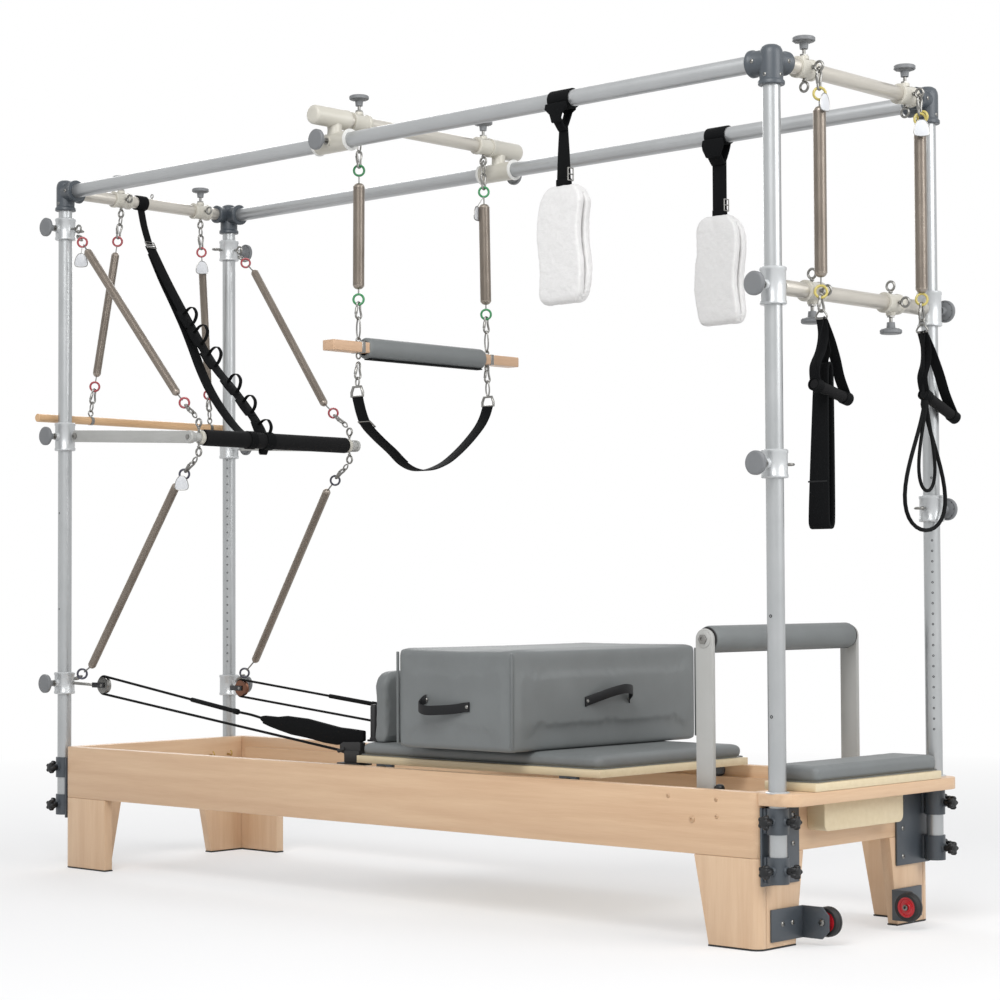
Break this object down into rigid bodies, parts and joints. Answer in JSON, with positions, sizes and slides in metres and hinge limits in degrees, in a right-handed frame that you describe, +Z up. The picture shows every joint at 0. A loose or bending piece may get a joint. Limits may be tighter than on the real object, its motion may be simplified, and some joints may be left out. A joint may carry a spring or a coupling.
{
  "type": "pilates reformer with tower",
  "caption": "Wood reformer bed with a sliding carriage, sitting box, footbar and platform under a metal tower that carries a push bar, trapeze, springs, straps and loops.",
  "frame": {"origin": "on the floor under the middle of the bounding box", "axes": "+X to the foot end, +Y to the far side, +Z up"},
  "size_m": [2.8736, 0.85, 2.258],
  "materials": {
    "maple": "clear lacquered light maple",
    "cream_ply": "pale lacquered plywood",
    "grey_vinyl": "matt grey upholstery vinyl over foam",
    "slate_metal": "slate grey powder coat",
    "silver": "satin anodised",
    "champagne": "satin cream powder coat",
    "black_rubber": "matt black foam and rubber",
    "black_webbing": "black woven webbing and cord",
    "spring_steel": "oiled spring wire",
    "ash_dowel": "clear lacquered dowel",
    "fleece": "white deep pile fleece"
  },
  "bodies": {
    "frame": {"side_panel_near": "maple", "side_panel_far": "maple", "track_near": "silver", "track_far": "silver", "head_panel": "maple", "foot_panel": "maple", "end_shelf": "maple", "platform_deck": "cream_ply", "platform_pad": "grey_vinyl", "upright_head_near": "silver", "upright_head_far": "silver", "upright_foot_near": "silver", "upright_foot_far": "silver", "top_rail_near": "silver", "top_rail_far": "silver", "head_crossbar": "champagne", "foot_crossbar": "champagne", "upright_clamp_head_near": "slate_metal", "upright_clamp_head_far": "slate_metal", "upright_clamp_foot_near": "slate_metal", "upright_clamp_foot_far": "slate_metal", "wheel_bracket_near": "slate_metal", "wheel_bracket_far": "slate_metal", "pulley_collar_near": "champagne", "pulley_collar_far": "champagne", "push_spring_upper_near": "spring_steel", "push_spring_upper_far": "spring_steel", "push_spring_lower_near": "spring_steel", "push_spring_lower_far": "spring_steel", "pulley_rope_near": "black_webbing", "pulley_rope_far": "black_webbing", "ladder_strap": "black_webbing"},
    "near_wheel": {"wheel_near": "black_rubber"},
    "far_wheel": {"wheel_far": "black_rubber"},
    "carriage": {"carriage_deck": "cream_ply", "carriage_pad": "grey_vinyl", "shoulder_rest_near": "grey_vinyl", "shoulder_rest_far": "grey_vinyl"},
    "box": {"sitting_box": "grey_vinyl"},
    "footbar": {"footbar_frame": "silver", "footbar_roll": "grey_vinyl"},
    "push_bar": {"push_bar_frame": "champagne", "push_bar_grip": "black_rubber"},
    "roll_down": {"roll_down_bar": "ash_dowel", "roll_down_spring_near": "spring_steel", "roll_down_spring_far": "spring_steel"},
    "trapeze_carriage": {"trapeze_carrier": "champagne"},
    "trapeze": {"trapeze_spring_near": "spring_steel", "trapeze_spring_far": "spring_steel", "trapeze_bar": "ash_dowel", "trapeze_roll": "grey_vinyl", "sling": "black_webbing"},
    "lower_bar": {"lower_crossbar": "champagne"},
    "near_arm_set": {"arm_spring_near": "spring_steel", "hand_loops_near": "black_webbing"},
    "far_arm_set": {"arm_spring_far": "spring_steel", "hand_loops_far": "black_webbing"},
    "near_fleece": {"fleece_loop_near": "fleece"},
    "far_fleece": {"fleece_loop_far": "fleece"}
  },
  "joints": [
    {"name": "near_wheel_spin", "type": "hinge", "parent": "frame", "child": "near_wheel", "pos_m": [1.3975, -0.174, 0.057], "axis": [0, 1, 0], "continuous": true},
    {"name": "far_wheel_spin", "type": "hinge", "parent": "frame", "child": "far_wheel", "pos_m": [1.3975, 0.174, 0.057], "axis": [0, 1, 0], "continuous": true},
    {"name": "carriage_slide", "type": "slide", "parent": "frame", "child": "carriage", "axis": [1, 0, 0], "range_m": [-0.95, 0], "stiffness_N_per_m": 120, "springref_m": 0.12, "deforming": ["pulley_rope_near", "pulley_rope_far"]},
    {"name": "box_lift", "type": "slide", "parent": "carriage", "child": "box", "axis": [0, 0, 1], "range_m": [0, 0.3]},
    {"name": "footbar_hinge", "type": "hinge", "parent": "frame", "child": "footbar", "pos_m": [1.1365, 0, 0.33], "axis": [0, 1, 0], "range_deg": [-50, 60]},
    {"name": "push_bar_pivot", "type": "hinge", "parent": "frame", "child": "push_bar", "pos_m": [-1.318, 0, 1.34], "axis": [0, 1, 0], "range_deg": [-50, 45], "stiffness_Nm_per_rad": 90, "springref_deg": -19.31, "deforming": ["push_spring_upper_near", "push_spring_upper_far", "push_spring_lower_near", "push_spring_lower_far", "ladder_strap"]},
    {"name": "roll_down_swing", "type": "hinge", "parent": "frame", "child": "roll_down", "pos_m": [-1.3727, 0, 2.069], "axis": [0, 1, 0], "range_deg": [0, 60]},
    {"name": "trapeze_travel", "type": "slide", "parent": "frame", "child": "trapeze_carriage", "axis": [1, 0, 0], "range_m": [-0.2, 0.4]},
    {"name": "trapeze_swing", "type": "hinge", "parent": "trapeze_carriage", "child": "trapeze", "pos_m": [-0.139, 0, 2.136], "axis": [0, 1, 0], "range_deg": [-20, 20]},
    {"name": "lower_bar_height", "type": "slide", "parent": "frame", "child": "lower_bar", "axis": [0, 0, 1], "range_m": [-0.15, 0.35]},
    {"name": "near_arm_swing", "type": "hinge", "parent": "frame", "child": "near_arm_set", "pos_m": [1.4167, 0, 2.113], "axis": [0, 1, 0], "range_deg": [-50, 0]},
    {"name": "far_arm_swing", "type": "hinge", "parent": "frame", "child": "far_arm_set", "pos_m": [1.4167, 0, 2.113], "axis": [0, 1, 0], "range_deg": [-50, 0]},
    {"name": "near_fleece_swing", "type": "hinge", "parent": "frame", "child": "near_fleece", "pos_m": [0.715, -0.3386, 2.111], "axis": [1, 0, 0], "range_deg": [-35, 35]},
    {"name": "far_fleece_swing", "type": "hinge", "parent": "frame", "child": "far_fleece", "pos_m": [0.697, 0.3386, 2.111], "axis": [1, 0, 0], "range_deg": [-35, 35]}
  ]
}
